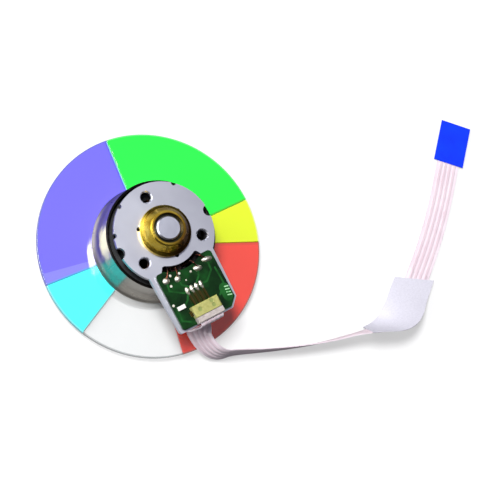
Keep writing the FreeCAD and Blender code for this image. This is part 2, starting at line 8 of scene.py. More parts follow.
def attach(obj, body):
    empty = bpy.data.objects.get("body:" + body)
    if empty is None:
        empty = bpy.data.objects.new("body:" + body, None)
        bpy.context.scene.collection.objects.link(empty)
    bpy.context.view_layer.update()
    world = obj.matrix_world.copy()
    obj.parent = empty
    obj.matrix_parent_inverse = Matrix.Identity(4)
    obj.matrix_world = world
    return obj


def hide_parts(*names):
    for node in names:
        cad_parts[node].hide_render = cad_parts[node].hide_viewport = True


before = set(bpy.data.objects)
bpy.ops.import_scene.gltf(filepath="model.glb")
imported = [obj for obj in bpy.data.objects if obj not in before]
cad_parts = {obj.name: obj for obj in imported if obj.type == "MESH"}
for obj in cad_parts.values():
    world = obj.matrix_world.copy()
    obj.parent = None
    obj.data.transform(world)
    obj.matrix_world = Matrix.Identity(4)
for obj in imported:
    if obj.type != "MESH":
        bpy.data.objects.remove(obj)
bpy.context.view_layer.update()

# ------------------------------------------------------------------ studio
# A white table, photographed from above and a little to one side. The light is one soft
# box above and to the left, two weak ones low on the left and behind, and a dark room
# that is grey overhead and bright behind on the left.
mm = 0.001


def linear(code):
    """An sRGB hex colour as linear RGBA."""
    parts = [int(code[i:i + 2], 16) / 255 for i in (1, 3, 5)]
    return [c / 12.92 if c <= 0.04045 else ((c + 0.055) / 1.055) ** 2.4 for c in parts] + [1.0]


def add(tree, kind, settings=None, links=None):
    """Adds a node. Settings are its properties, or its sockets by name or number."""
    node = tree.nodes.new(kind)
    for name, value in (settings or {}).items():
        if isinstance(value, str) and value.startswith("#"):
            value = linear(value)
        if name == "stops":
            for element, (place, code) in zip(ramp_elements(node, len(value)), value):
                element.position = place
                element.color = linear(code)
        elif isinstance(name, int) or name in node.inputs:
            node.inputs[name].default_value = value
        else:
            setattr(node, name, value)
    for name, source in (links or {}).items():
        output = source.outputs[0] if isinstance(source, bpy.types.Node) else source
        tree.links.new(output, node.inputs[name])
    return node


def ramp_elements(node, count):
    """The stops of a colour ramp, once it has as many as are needed."""
    elements = node.color_ramp.elements
    while len(elements) < count:
        elements.new(1.0)
    return elements


def blank(name):
    """A new material and its empty node tree."""
    material = bpy.data.materials.new(name)
    material.use_nodes = True
    material.node_tree.nodes.clear()
    return material, material.node_tree


scene = bpy.context.scene
scene.view_settings.view_transform = "Standard"

# The table's top lies a hair under the glass, so that the two never share a plane.
table_half = 1.5
table_drop = 0.02 * mm
table_shape = bmesh.new()
corners = [table_shape.verts.new((x * table_half, y * table_half, -table_drop))
           for x, y in ((-1, -1), (1, -1), (1, 1), (-1, 1))]
table_shape.faces.new(corners)
table_mesh = bpy.data.meshes.new("table")
table_shape.to_mesh(table_mesh)
table_shape.free()
table = bpy.data.objects.new("table", table_mesh)
scene.collection.objects.link(table)

# Matt board. The camera sees it white, as the background is in the photograph, and with
# the object's shadow; the object is lit by a greyer one. Metal mirrors a little of the
# plain white, and glass shows nearly nothing else.
white_board, tree = blank("white_board")
rays = add(tree, "ShaderNodeLightPath")
to_camera = rays.outputs["Is Camera Ray"]
share = add(tree, "ShaderNodeMath", {"operation": "MULTIPLY", 1: 0.5}, {0: to_camera})
for kind, part in (("Is Glossy Ray", 0.1), ("Is Transmission Ray", 0.9)):
    seen = add(tree, "ShaderNodeMath", {"operation": "MULTIPLY", 1: part}, {0: rays.outputs[kind]})
    share = add(tree, "ShaderNodeMath", {"operation": "MAXIMUM"}, {0: seen, 1: share})
pale = add(tree, "ShaderNodeMix", {"data_type": "RGBA", 6: "#8c8c90", 7: "#ffffff"},
           {0: to_camera})
matt = add(tree, "ShaderNodeBsdfDiffuse", {}, {"Color": pale.outputs[2]})
plain = add(tree, "ShaderNodeEmission", {"Color": "#ffffff", "Strength": 1.0})
mixed = add(tree, "ShaderNodeMixShader", {}, {0: share, 1: matt, 2: plain})
add(tree, "ShaderNodeOutputMaterial", {}, {"Surface": mixed})
table_mesh.materials.append(white_board)

# The room: bright behind on the left, grey overhead, dark in front and on the right.
room = bpy.data.worlds.new("room")
scene.world = room
room.use_nodes = True
tree = room.node_tree
tree.nodes.clear()
way = add(tree, "ShaderNodeTexCoord").outputs["Generated"]


def share_towards(direction, near, far):
    """How much of a bright patch shows. It is centred on a direction, and near and far are
    the cosines of the angles at which it starts to show and is full."""
    aligned = add(tree, "ShaderNodeVectorMath", {"operation": "DOT_PRODUCT", 1: direction},
                  {0: way})
    return add(tree, "ShaderNodeMapRange",
               {"interpolation_type": "SMOOTHSTEP", "From Min": near, "From Max": far},
               {"Value": aligned.outputs["Value"]})


overhead = share_towards((0.32, 0.09, 0.943), 0.80, 0.97)
glow = add(tree, "ShaderNodeMix", {"data_type": "RGBA", 6: "#202024", 7: "#707078"},
           {0: overhead})
behind = share_towards((-0.60, 0.75, 0.28), 0.80, 0.96)
glow = add(tree, "ShaderNodeMix", {"data_type": "RGBA", 7: "#ffffff"},
           {0: behind, 6: glow.outputs[2]})
sky = add(tree, "ShaderNodeBackground", {"Strength": 2.0}, {"Color": glow.outputs[2]})
add(tree, "ShaderNodeOutputWorld", {}, {"Surface": sky})


def soft_box(name, place, aim, width, height, power):
    """A studio soft box at a place, turned to its aim. Metres and watts."""
    lamp = bpy.data.lights.new(name, "AREA")
    lamp.shape = "RECTANGLE"
    lamp.size = width
    lamp.size_y = height
    lamp.energy = power
    holder = bpy.data.objects.new(name, lamp)
    holder.location = place
    holder.rotation_euler = (Vector(aim) - Vector(place)).to_track_quat("-Z", "Y").to_euler()
    holder.visible_camera = False
    scene.collection.objects.link(holder)


soft_box("soft_box_above", place=(-0.13, 0.165, 0.568), aim=(0.0, 0.0, 0.0),
         width=0.18, height=0.16, power=3.9)
soft_box("soft_box_left", place=(-0.34, 0.06, 0.17), aim=(0.0, -0.02, 0.0),
         width=0.16, height=0.16, power=0.3)
soft_box("soft_box_behind", place=(-0.24, 0.30, 0.12), aim=(0.0, 0.0, 0.01),
         width=0.28, height=0.16, power=0.36)

# The camera stands where the outlines of the glass, the plate and the cup agree with
# the photograph. Its axes are unit vectors in the part's frame, and its lens gives a
# picture 500 pixels wide a focal length of 1700.
camera_place = (-105.611 * mm, -28.434 * mm, 310.351 * mm)
camera_right = (0.82792614, -0.47238339, 0.30231149)
camera_down = (-0.42077968, -0.879573, -0.22202658)
camera_ahead = (0.37078669, 0.05661508, -0.92699081)
lens = bpy.data.cameras.new("camera")
lens.lens = 122.4
lens.sensor_width = 36.0
lens.clip_start = 0.01
lens.clip_end = 10.0
camera = bpy.data.objects.new("camera", lens)
turn = Matrix((camera_right, [-c for c in camera_down], [-c for c in camera_ahead])).transposed()
camera.matrix_world = Matrix.Translation(camera_place) @ turn.to_4x4()
scene.collection.objects.link(camera)
scene.camera = camera

# ------------------------------------------------------------------ front clamp ring
# Aluminium ring, turned on a lathe, glued under the filters. Its groove takes the
# balancing putty. Seen through the clear filter as a narrow grey band.
per_mm = 1 / mm


def dress(name, material):
    """Gives a node of the frame its finish."""
    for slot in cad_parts[name].material_slots:
        slot.material = material


def radius_node(tree, place):
    """How far a point is from the motor's axis, in metres."""
    flat = add(tree, "ShaderNodeVectorMath", {"operation": "MULTIPLY", 1: (1.0, 1.0, 0.0)},
               {0: place})
    length = add(tree, "ShaderNodeVectorMath", {"operation": "LENGTH"}, {0: flat})
    return length.outputs["Value"]


def turning_marks(tree, pitch, depth):
    """The fine rings that a lathe leaves, as a bump: they run round the axis."""
    place = add(tree, "ShaderNodeTexCoord").outputs["Object"]
    height = add(tree, "ShaderNodeSeparateXYZ", {}, {0: place}).outputs[2]
    reach = add(tree, "ShaderNodeMath", {"operation": "ADD"},
                {0: radius_node(tree, place), 1: height})
    turns = add(tree, "ShaderNodeMath", {"operation": "MULTIPLY", 1: 2 * math.pi / pitch},
                {0: reach})
    wave = add(tree, "ShaderNodeMath", {"operation": "SINE"}, {0: turns})
    return add(tree, "ShaderNodeBump", {"Strength": 0.35, "Distance": depth}, {"Height": wave})


# Turned aluminium: soft grey with fine rings that stretch its highlights. The tool's feed
# is about 0.05 mm; the rings are drawn four times as coarse, so that they show.
turned_aluminium, tree = blank("turned_aluminium")
place = add(tree, "ShaderNodeTexCoord").outputs["Object"]
spread = add(tree, "ShaderNodeTexNoise", {"Scale": 0.9 * per_mm, "Detail": 3.0}, {"Vector": place})
worn = add(tree, "ShaderNodeMapRange", {"To Min": 0.4, "To Max": 0.5}, {"Value": spread})
rings = turning_marks(tree, pitch=0.2 * mm, depth=0.01 * mm)
metal = add(tree, "ShaderNodeBsdfPrincipled", {"Base Color": "#8c8880", "Metallic": 1.0},
            {"Roughness": worn.outputs[0], "Normal": rings})
add(tree, "ShaderNodeOutputMaterial", {}, {"Surface": metal})
dress("clamp_ring", turned_aluminium)

# ------------------------------------------------------------------ balancing putty
# A dab of grey-green two-part putty, pressed into the ring's groove with a fingertip
# and left to set. It evens out the wheel. Matt, with lumps of about 0.4 mm.
set_putty, tree = blank("set_putty")
place = add(tree, "ShaderNodeTexCoord").outputs["Object"]
lumps = add(tree, "ShaderNodeTexNoise", {"Scale": 2.5 * per_mm, "Detail": 4.0}, {"Vector": place})
tone = add(tree, "ShaderNodeValToRGB", {"stops": [(0.3, "#6f756d"), (0.7, "#8b9088")]}, {0: lumps})
pressed = add(tree, "ShaderNodeBump", {"Strength": 0.6, "Distance": 0.06 * mm}, {"Height": lumps})
body = add(tree, "ShaderNodeBsdfPrincipled", {"Roughness": 0.75, "IOR": 1.5},
           {"Base Color": tone.outputs[0], "Normal": pressed})
add(tree, "ShaderNodeOutputMaterial", {}, {"Surface": body})
dress("balance_putty", set_putty)

# ------------------------------------------------------------------ glue of the filters
# Clear optical glue between ring, glass and cup, a little yellowed, with a bead round the
# cup's flange. It is nearly see-through and has soft waves of about 0.8 mm.
clear_glue, tree = blank("clear_glue")
place = add(tree, "ShaderNodeTexCoord").outputs["Object"]
flow = add(tree, "ShaderNodeTexNoise", {"Scale": 1.2 * per_mm, "Detail": 2.0}, {"Vector": place})
tone = add(tree, "ShaderNodeValToRGB", {"stops": [(0.3, "#8f8878"), (0.7, "#b4ad9c")]}, {0: flow})
waves = add(tree, "ShaderNodeBump", {"Strength": 0.5, "Distance": 0.05 * mm}, {"Height": flow})
body = add(tree, "ShaderNodeBsdfPrincipled", {"Roughness": 0.25, "IOR": 1.5, "Alpha": 0.18},
           {"Base Color": tone.outputs[0], "Normal": waves})
add(tree, "ShaderNodeOutputMaterial", {}, {"Surface": body})
dress("glass_bond", clear_glue)

# ------------------------------------------------------------------ glass filters
# Six segments of optical glass, coated in a vacuum so that each lets one colour through,
# cut with a diamond wheel, their edges eased. They butt against each other on the ring.
sharp_angle = math.radians(32)
same_place = 0.0005 * mm


def piece(name, shape, body, materials):
    """A mesh made here becomes a piece with its finish, on the body that it rides on."""
    mesh = bpy.data.meshes.new(name)
    shape.to_mesh(mesh)
    shape.free()
    mesh.polygons.foreach_set("use_smooth", [True] * len(mesh.polygons))
    mesh.set_sharp_from_angle(angle=sharp_angle)
    for material in materials:
        mesh.materials.append(material)
    made = bpy.data.objects.new(name, mesh)
    scene.collection.objects.link(made)
    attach(made, body)
    return made


def eased(name, node, body, width, materials, steps=2):
    """A copy of a node with its sharp edges eased as on the real piece, in the node's place."""
    shape = bmesh.new()
    shape.from_mesh(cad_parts[node].data)
    bmesh.ops.remove_doubles(shape, verts=shape.verts, dist=same_place)
    bmesh.ops.dissolve_limit(shape, angle_limit=math.radians(0.2),
                             verts=shape.verts, edges=shape.edges)
    made = piece(name, shape, body, materials)
    bevel = made.modifiers.new("eased edges", "BEVEL")
    bevel.width = width
    bevel.segments = steps
    bevel.limit_method = "ANGLE"
    bevel.angle_limit = sharp_angle
    bevel.harden_normals = True
    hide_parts(node)
    return made


wheel_radius = 22.0 * mm
rim_width = 0.25 * mm
glass_edge = 0.08 * mm

# Each filter: its colour, the colour of its rim, the colour that its coating mirrors, and
# its bands. A band starts at an angle and reaches from one distance to another, in mm,
# measured across that line.
filters = {
    "green": ("#1ffc48", "#66f47c", "#ff60ff", [(-1.0, 0.0, 0.35, "#48dc2e")]),
    "blue": ("#746cf8", "#6a6ed0", "#ffffb0",
             [(84.5, 0.0, 0.22, "#90f0e8"), (84.5, 0.22, 0.5, "#5a5ad8"),
              (169.5, 0.0, 9.0, "#8683ff"), (175.5, -0.3, 0.0, "#609fe8")]),
    "cyan": ("#50fdfe", "#7ae4ea", "#ff6060", [(205.0, -0.25, 0.0, "#80c0c0")]),
    "red": ("#ff5244", "#c9655a", "#60ffff",
            [(336.0, -0.2, 0.0, "#c8642a"), (336.0, -0.6, -0.2, "#ee5040")]),
    "yellow": ("#eeff24", "#f2ff8c", "#6060ff", []),
}

# Coated glass: the coating gives a clean, even colour, and its face mirrors the colours
# that it doesn't let through. Clouds of about 17 mm keep the colour from being flat.
for colour, (code, rim_code, mirror_code, bands) in filters.items():
    coated_glass, tree = blank("coated_glass_" + colour)
    place = add(tree, "ShaderNodeTexCoord").outputs["Object"]
    cloud = add(tree, "ShaderNodeTexNoise", {"Scale": 0.06 * per_mm, "Detail": 1.0},
                {"Vector": place})
    shade = add(tree, "ShaderNodeMapRange", {"To Min": 0.96, "To Max": 1.0}, {"Value": cloud})
    tone = add(tree, "ShaderNodeMix",
               {"data_type": "RGBA", "blend_type": "MULTIPLY", 0: 1.0, 6: code},
               {7: shade.outputs[0]}).outputs[2]
    for angle, near, far, band_code in bands:
        across = (-math.sin(math.radians(angle)), math.cos(math.radians(angle)), 0.0)
        beside = add(tree, "ShaderNodeVectorMath", {"operation": "DOT_PRODUCT", 1: across},
                     {0: place})
        middle = (near + far) / 2 * mm
        half = (far - near) / 2 * mm
        inside = add(tree, "ShaderNodeMath", {"operation": "COMPARE", 1: middle, 2: half},
                     {0: beside.outputs["Value"]})
        tone = add(tree, "ShaderNodeMix", {"data_type": "RGBA", 7: band_code},
                   {0: inside, 6: tone}).outputs[2]
    at_rim = add(tree, "ShaderNodeMath",
                 {"operation": "GREATER_THAN", 1: wheel_radius - rim_width},
                 {0: radius_node(tree, place)})
    tone = add(tree, "ShaderNodeMix", {"data_type": "RGBA", 7: rim_code},
               {0: at_rim, 6: tone}).outputs[2]
    glass = add(tree, "ShaderNodeBsdfPrincipled",
                {"Roughness": 0.05, "IOR": 1.7, "Specular IOR Level": 0.7,
                 "Specular Tint": mirror_code, "Transmission Weight": 0.05}, {"Base Color": tone})
    add(tree, "ShaderNodeOutputMaterial", {}, {"Surface": glass})
    eased("filter_" + colour, "glass_" + colour, "rotor", glass_edge,
          [coated_glass])

# Uncoated glass with an antireflection coat: nearly nothing but its cut edges shows.
bare_glass, tree = blank("bare_glass")
place = add(tree, "ShaderNodeTexCoord").outputs["Object"]
at_rim = add(tree, "ShaderNodeMath", {"operation": "GREATER_THAN", 1: wheel_radius - rim_width},
             {0: radius_node(tree, place)})
cover = add(tree, "ShaderNodeMapRange", {"To Min": 0.4, "To Max": 0.55}, {"Value": at_rim})
tone = add(tree, "ShaderNodeMix", {"data_type": "RGBA", 6: "#f0f2f2", 7: "#9ca2a2"}, {0: at_rim})
glass = add(tree, "ShaderNodeBsdfPrincipled", {"Roughness": 0.04, "IOR": 1.45},
            {"Base Color": tone.outputs[2], "Alpha": cover.outputs[0]})
add(tree, "ShaderNodeOutputMaterial", {}, {"Surface": glass})
eased("filter_clear", "glass_clear", "rotor", glass_edge, [bare_glass])

# ------------------------------------------------------------------ rotor cup
# Deep-drawn steel cup, nickel plated. Drawing leaves faint upright streaks in its wall,
# and the bright plating mirrors the filters round it. Its rim and its inside are painted
# near black, as painted shade.
cup_rim = 10.36 * mm
cup_inner_radius = 10.1 * mm
cup_floor = 2.4 * mm

# Nickel over drawn steel: warm grey, bright, with streaks 0.7 mm wide and long in height.
plated_steel, tree = blank("plated_steel")
place = add(tree, "ShaderNodeTexCoord").outputs["Object"]
streak_room = add(tree, "ShaderNodeMapping", {"Scale": (1.0, 1.0, 0.04)}, {0: place})
streaks = add(tree, "ShaderNodeTexNoise", {"Scale": 1.4 * per_mm, "Detail": 4.0},
              {"Vector": streak_room})
dull = add(tree, "ShaderNodeMapRange", {"To Min": 0.2, "To Max": 0.42}, {"Value": streaks})
drawn = add(tree, "ShaderNodeBump", {"Strength": 0.25, "Distance": 0.02 * mm}, {"Height": streaks})
height = add(tree, "ShaderNodeSeparateXYZ", {}, {0: place}).outputs[2]
# Painted shade: the rim and the inside of the cup are coloured near black.
at_rim = add(tree, "ShaderNodeMath", {"operation": "GREATER_THAN", 1: cup_rim}, {0: height})
inside = add(tree, "ShaderNodeMath", {"operation": "LESS_THAN", 1: cup_inner_radius},
             {0: radius_node(tree, place)})
deep = add(tree, "ShaderNodeMath", {"operation": "GREATER_THAN", 1: cup_floor}, {0: height})
inside = add(tree, "ShaderNodeMath", {"operation": "MULTIPLY"}, {0: inside, 1: deep})
black = add(tree, "ShaderNodeMath", {"operation": "MAXIMUM"}, {0: at_rim, 1: inside})
tone = add(tree, "ShaderNodeMix", {"data_type": "RGBA", 6: "#98938b", 7: "#1c1a18"}, {0: black})
metal = add(tree, "ShaderNodeBsdfPrincipled", {"Metallic": 1.0},
            {"Base Color": tone.outputs[2], "Roughness": dull.outputs[0], "Normal": drawn})
add(tree, "ShaderNodeOutputMaterial", {}, {"Surface": metal})
dress("rotor_cup", plated_steel)

# The foot of the cup: drawing has rounded it wide, from the wall out to the glass. It is
# this outline, as radius and height in mm, turned round the axis.
foot_outline = [(10.5, 5.6), (10.61, 5.6), (10.63, 4.9), (10.69, 4.3), (10.79, 3.8), (10.94, 3.38),
                (11.12, 3.04), (11.30, 2.78), (11.44, 2.62), (11.5, 2.5), (11.5, 2.3), (10.5, 2.3)]
foot_steps = 160
foot = bmesh.new()
hoops = []
for i in range(foot_steps):
    a = 2 * math.pi * i / foot_steps
    hoops.append([foot.verts.new((r * math.cos(a) * mm, r * math.sin(a) * mm, z * mm))
                  for r, z in foot_outline])
for one, other in zip(hoops, hoops[1:] + hoops[:1]):
    for k in range(len(foot_outline)):
        n = (k + 1) % len(foot_outline)
        foot.faces.new((one[k], other[k], other[n], one[n]))
bmesh.ops.recalc_face_normals(foot, faces=foot.faces)
piece("cup_foot", foot, "rotor", [plated_steel])

# ------------------------------------------------------------------ ring magnet
# Plastic-bonded ferrite ring, glued into the cup. Dark grey, matt and slightly grainy.
# The powder's grain is far finer; it is drawn as 0.17 mm, so that it shows.
bonded_ferrite, tree = blank("bonded_ferrite")
place = add(tree, "ShaderNodeTexCoord").outputs["Object"]
grain = add(tree, "ShaderNodeTexNoise", {"Scale": 6.0 * per_mm, "Detail": 3.0}, {"Vector": place})
tone = add(tree, "ShaderNodeValToRGB", {"stops": [(0.35, "#1d1d1f"), (0.65, "#2e2e31")]},
           {0: grain})
rough = add(tree, "ShaderNodeBump", {"Strength": 0.4, "Distance": 0.02 * mm}, {"Height": grain})
body = add(tree, "ShaderNodeBsdfPrincipled", {"Roughness": 0.7, "IOR": 1.5},
           {"Base Color": tone.outputs[0], "Normal": rough})
add(tree, "ShaderNodeOutputMaterial", {}, {"Surface": body})
dress("ring_magnet", bonded_ferrite)

# ------------------------------------------------------------------ shaft and end cap
# Hardened steel, ground to size: the shaft runs in the sleeve bearing, and the cap is
# pressed into the top of the housing to close it. Painted shade darkens the groove round it.
groove_shade_full = 15.5 * mm
groove_shade_ends = 15.9 * mm

# Ground steel: cool and bright, its mirror softened by the grinding into a haze.
ground_steel, tree = blank("ground_steel")
place = add(tree, "ShaderNodeTexCoord").outputs["Object"]
haze = add(tree, "ShaderNodeTexNoise", {"Scale": 0.7 * per_mm, "Detail": 1.0}, {"Vector": place})
dull = add(tree, "ShaderNodeMapRange", {"To Min": 0.3, "To Max": 0.38}, {"Value": haze})
# Painted shade: below the cap's top the steel is coloured dark olive.
height = add(tree, "ShaderNodeSeparateXYZ", {}, {0: place}).outputs[2]
unshaded = add(tree, "ShaderNodeMapRange", {"From Min": groove_shade_full, "From Max": groove_shade_ends},
            {"Value": height})
tone = add(tree, "ShaderNodeMix", {"data_type": "RGBA", 6: "#3a3a2c", 7: "#d2d4e0"}, {0: unshaded})
metal = add(tree, "ShaderNodeBsdfPrincipled", {"Metallic": 1.0},
            {"Base Color": tone.outputs[2], "Roughness": dull.outputs[0]})
add(tree, "ShaderNodeOutputMaterial", {}, {"Surface": metal})
dress("shaft", ground_steel)
dress("end_cap", ground_steel)

# ------------------------------------------------------------------ washer and thrust plate
# Small slippery plastic parts: the washer snaps into the shaft's groove and keeps the
# rotor on, the thrust plate carries the shaft's rounded end.

# Moulded acetal: cream, waxy and a little see-through. Its skin is drawn as 0.2 mm grain,
# coarser than the mould's, so that it shows.
slippery_plastic, tree = blank("slippery_plastic")
place = add(tree, "ShaderNodeTexCoord").outputs["Object"]
moulded = add(tree, "ShaderNodeTexNoise", {"Scale": 5.0 * per_mm, "Detail": 2.0},
              {"Vector": place})
skin = add(tree, "ShaderNodeBump", {"Strength": 0.2, "Distance": 0.01 * mm}, {"Height": moulded})
body = add(tree, "ShaderNodeBsdfPrincipled",
           {"Base Color": "#e4e0d4", "Roughness": 0.42, "IOR": 1.5,
            "Subsurface Weight": 0.1, "Subsurface Scale": 0.3 * mm}, {"Normal": skin})
add(tree, "ShaderNodeOutputMaterial", {}, {"Surface": body})
dress("retaining_washer", slippery_plastic)
dress("thrust_plate", slippery_plastic)

# ------------------------------------------------------------------ sleeve bearing
# Sintered bronze, soaked in oil: brown, porous and slightly wet. Its pores are drawn as
# 0.11 mm, several times their size, so that they show.
oily_bronze, tree = blank("oily_bronze")
place = add(tree, "ShaderNodeTexCoord").outputs["Object"]
pores = add(tree, "ShaderNodeTexVoronoi", {"Scale": 9.0 * per_mm}, {"Vector": place})
tone = add(tree, "ShaderNodeValToRGB", {"stops": [(0.0, "#5d3d20"), (0.4, "#9a6c3c")]}, {0: pores})
pits = add(tree, "ShaderNodeBump", {"Strength": 0.4, "Distance": 0.02 * mm}, {"Height": pores})
metal = add(tree, "ShaderNodeBsdfPrincipled",
            {"Metallic": 1.0, "Roughness": 0.38, "Coat Weight": 0.3},
            {"Base Color": tone.outputs[0], "Normal": pits})
add(tree, "ShaderNodeOutputMaterial", {}, {"Surface": metal})
dress("sleeve_bearing", oily_bronze)

# ------------------------------------------------------------------ bearing housing
# Free-cutting brass, turned in steps on an automatic lathe and pressed into the plate.
# It is bright and yellow, with fine rings that draw out its highlights. They are drawn
# 0.16 mm apart, coarser than the tool's feed, so that they show.
board_side = (0.64, -0.77, 0.0)
drift_width = 2.4 * mm
side_shade_starts, side_shade_full = 0.2 * mm, 3.4 * mm
cap_shade_starts, cap_shade_full = 3.05 * mm, 2.8 * mm

turned_brass, tree = blank("turned_brass")
place = add(tree, "ShaderNodeTexCoord").outputs["Object"]
smear = add(tree, "ShaderNodeTexNoise",
            {"Scale": 0.45 * per_mm, "Detail": 4.0, "Distortion": 0.6}, {"Vector": place})
tone = add(tree, "ShaderNodeValToRGB",
           {"stops": [(0.3, "#d0a830"), (0.5, "#e8c648"), (0.75, "#f4e070")]}, {0: smear})
# Painted shade: darker brown on the board's side and in the ring round the cap.
towards = add(tree, "ShaderNodeVectorMath", {"operation": "DOT_PRODUCT", 1: board_side},
              {0: place})
drift = add(tree, "ShaderNodeMath",
            {"operation": "MULTIPLY_ADD", 1: drift_width, 2: -drift_width / 2}, {0: smear})
reach = add(tree, "ShaderNodeMath", {"operation": "ADD"}, {0: towards.outputs["Value"], 1: drift})
side_shade = add(tree, "ShaderNodeMapRange", {"From Min": side_shade_starts, "From Max": side_shade_full},
             {"Value": reach})
cap_shade = add(tree, "ShaderNodeMapRange", {"From Min": cap_shade_starts, "From Max": cap_shade_full},
            {"Value": radius_node(tree, place)})
brass_shade = add(tree, "ShaderNodeMath", {"operation": "MAXIMUM"}, {0: side_shade, 1: cap_shade})
tone = add(tree, "ShaderNodeMix", {"data_type": "RGBA", 7: "#7c5418"}, {0: brass_shade, 6: tone})
dull = add(tree, "ShaderNodeMapRange", {"To Min": 0.16, "To Max": 0.34}, {"Value": smear})
rings = turning_marks(tree, pitch=0.16 * mm, depth=0.006 * mm)
metal = add(tree, "ShaderNodeBsdfPrincipled", {"Metallic": 1.0},
            {"Base Color": tone.outputs[2], "Roughness": dull.outputs[0], "Normal": rings})
add(tree, "ShaderNodeOutputMaterial", {}, {"Surface": metal})
dress("bearing_housing", turned_brass)

# ------------------------------------------------------------------ base plate
# Aluminium sheet, punched with its holes, notches and lead slot, then tumbled, so its
# face is satin and its edges are soft and bright. The housing is staked into it.
stake_top = 12.6 * mm
facing_up = 0.9

# Tumbled aluminium: pale, cool and satin. The grit's marks are drawn as 0.11 mm, twice
# their size, so that they show.
satin_plate, tree = blank("satin_plate")
place = add(tree, "ShaderNodeTexCoord").outputs["Object"]
patches = add(tree, "ShaderNodeTexNoise", {"Scale": 0.16 * per_mm, "Detail": 2.0},
              {"Vector": place})
tone = add(tree, "ShaderNodeValToRGB", {"stops": [(0.3, "#c2c3ce"), (0.7, "#caccd6")]},
           {0: patches})
grit = add(tree, "ShaderNodeTexNoise", {"Scale": 9.0 * per_mm, "Detail": 2.0}, {"Vector": place})
dull = add(tree, "ShaderNodeMapRange", {"To Min": 0.36, "To Max": 0.42}, {"Value": patches})
tumbled = add(tree, "ShaderNodeBump", {"Strength": 0.25, "Distance": 0.008 * mm},
              {"Height": grit})
# Painted shade: the floors of the stake marks round the boss are coloured near black.
normal = add(tree, "ShaderNodeNewGeometry").outputs["Normal"]
facing = add(tree, "ShaderNodeSeparateXYZ", {}, {0: normal}).outputs[2]
level = add(tree, "ShaderNodeMath", {"operation": "GREATER_THAN", 1: facing_up}, {0: facing})
height = add(tree, "ShaderNodeSeparateXYZ", {}, {0: place}).outputs[2]
sunk = add(tree, "ShaderNodeMath", {"operation": "LESS_THAN", 1: stake_top}, {0: height})
stake_shade = add(tree, "ShaderNodeMath", {"operation": "MULTIPLY"}, {0: level, 1: sunk})
tone = add(tree, "ShaderNodeMix", {"data_type": "RGBA", 7: "#0c0b0a"}, {0: stake_shade, 6: tone})
metal = add(tree, "ShaderNodeBsdfPrincipled", {"Metallic": 1.0},
            {"Base Color": tone.outputs[2], "Roughness": dull.outputs[0], "Normal": tumbled})
add(tree, "ShaderNodeOutputMaterial", {}, {"Surface": metal})
eased("plate_punched", "base_plate", "stator", 0.12 * mm, [satin_plate])

# ------------------------------------------------------------------ stator core
# Stack of punched steel sheets, blue-grey from the oven. The joints between the sheets
# show as thin dark lines.
sheet_thickness = 0.35 * mm
sheet_steel, tree = blank("sheet_steel")
place = add(tree, "ShaderNodeTexCoord").outputs["Object"]
height = add(tree, "ShaderNodeSeparateXYZ", {}, {0: place}).outputs[2]
sheets = add(tree, "ShaderNodeMath", {"operation": "MULTIPLY", 1: 2 * math.pi / sheet_thickness},
             {0: height})
sheets = add(tree, "ShaderNodeMath", {"operation": "SINE"}, {0: sheets})
joint = add(tree, "ShaderNodeMapRange", {"From Min": -1.0}, {"Value": sheets})
tone = add(tree, "ShaderNodeValToRGB", {"stops": [(0.0, "#1e1f22"), (0.25, "#34363a")]},
           {0: joint})
ledges = add(tree, "ShaderNodeBump", {"Strength": 0.5, "Distance": 0.02 * mm}, {"Height": sheets})
metal = add(tree, "ShaderNodeBsdfPrincipled", {"Metallic": 1.0, "Roughness": 0.4},
            {"Base Color": tone.outputs[0], "Normal": ledges})
add(tree, "ShaderNodeOutputMaterial", {}, {"Surface": metal})
dress("stator_core", sheet_steel)

# ------------------------------------------------------------------ insulators
# Two moulded caps of black polyester that keep the wire off the core. Their skin is matt,
# and its grain is drawn as 0.25 mm, coarser than the mould's, so that it shows.
black_polyester, tree = blank("black_polyester")
place = add(tree, "ShaderNodeTexCoord").outputs["Object"]
moulded = add(tree, "ShaderNodeTexNoise", {"Scale": 4.0 * per_mm, "Detail": 2.0},
              {"Vector": place})
skin = add(tree, "ShaderNodeBump", {"Strength": 0.25, "Distance": 0.01 * mm},
           {"Height": moulded})
body = add(tree, "ShaderNodeBsdfPrincipled",
           {"Base Color": "#1d1d1e", "Roughness": 0.48, "IOR": 1.55}, {"Normal": skin})
add(tree, "ShaderNodeOutputMaterial", {}, {"Surface": body})
dress("insulator_lower", black_polyester)
dress("insulator_upper", black_polyester)

# ------------------------------------------------------------------ windings and leads
# Enamelled copper wire, machine wound round the nine teeth. Four ends rise through the
# slot to the board. The enamel gives the copper a red-brown gloss.

# The turns are drawn 0.2 mm apart, about twice the wire, so that they show.
wire_pitch = 0.2 * mm
enamelled_copper, tree = blank("enamelled_copper")
place = add(tree, "ShaderNodeTexCoord").outputs["Object"]
turns = add(tree, "ShaderNodeMath", {"operation": "MULTIPLY", 1: 2 * math.pi / wire_pitch},
            {0: radius_node(tree, place)})
turns = add(tree, "ShaderNodeMath", {"operation": "SINE"}, {0: turns})
wound = add(tree, "ShaderNodeBump", {"Strength": 0.8, "Distance": 0.06 * mm}, {"Height": turns})
metal = add(tree, "ShaderNodeBsdfPrincipled",
            {"Base Color": "#4a2414", "Metallic": 1.0, "Roughness": 0.3,
             "Coat Weight": 0.4, "Coat Roughness": 0.1}, {"Normal": wound})
add(tree, "ShaderNodeOutputMaterial", {}, {"Surface": metal})
dress("stator_coils", enamelled_copper)

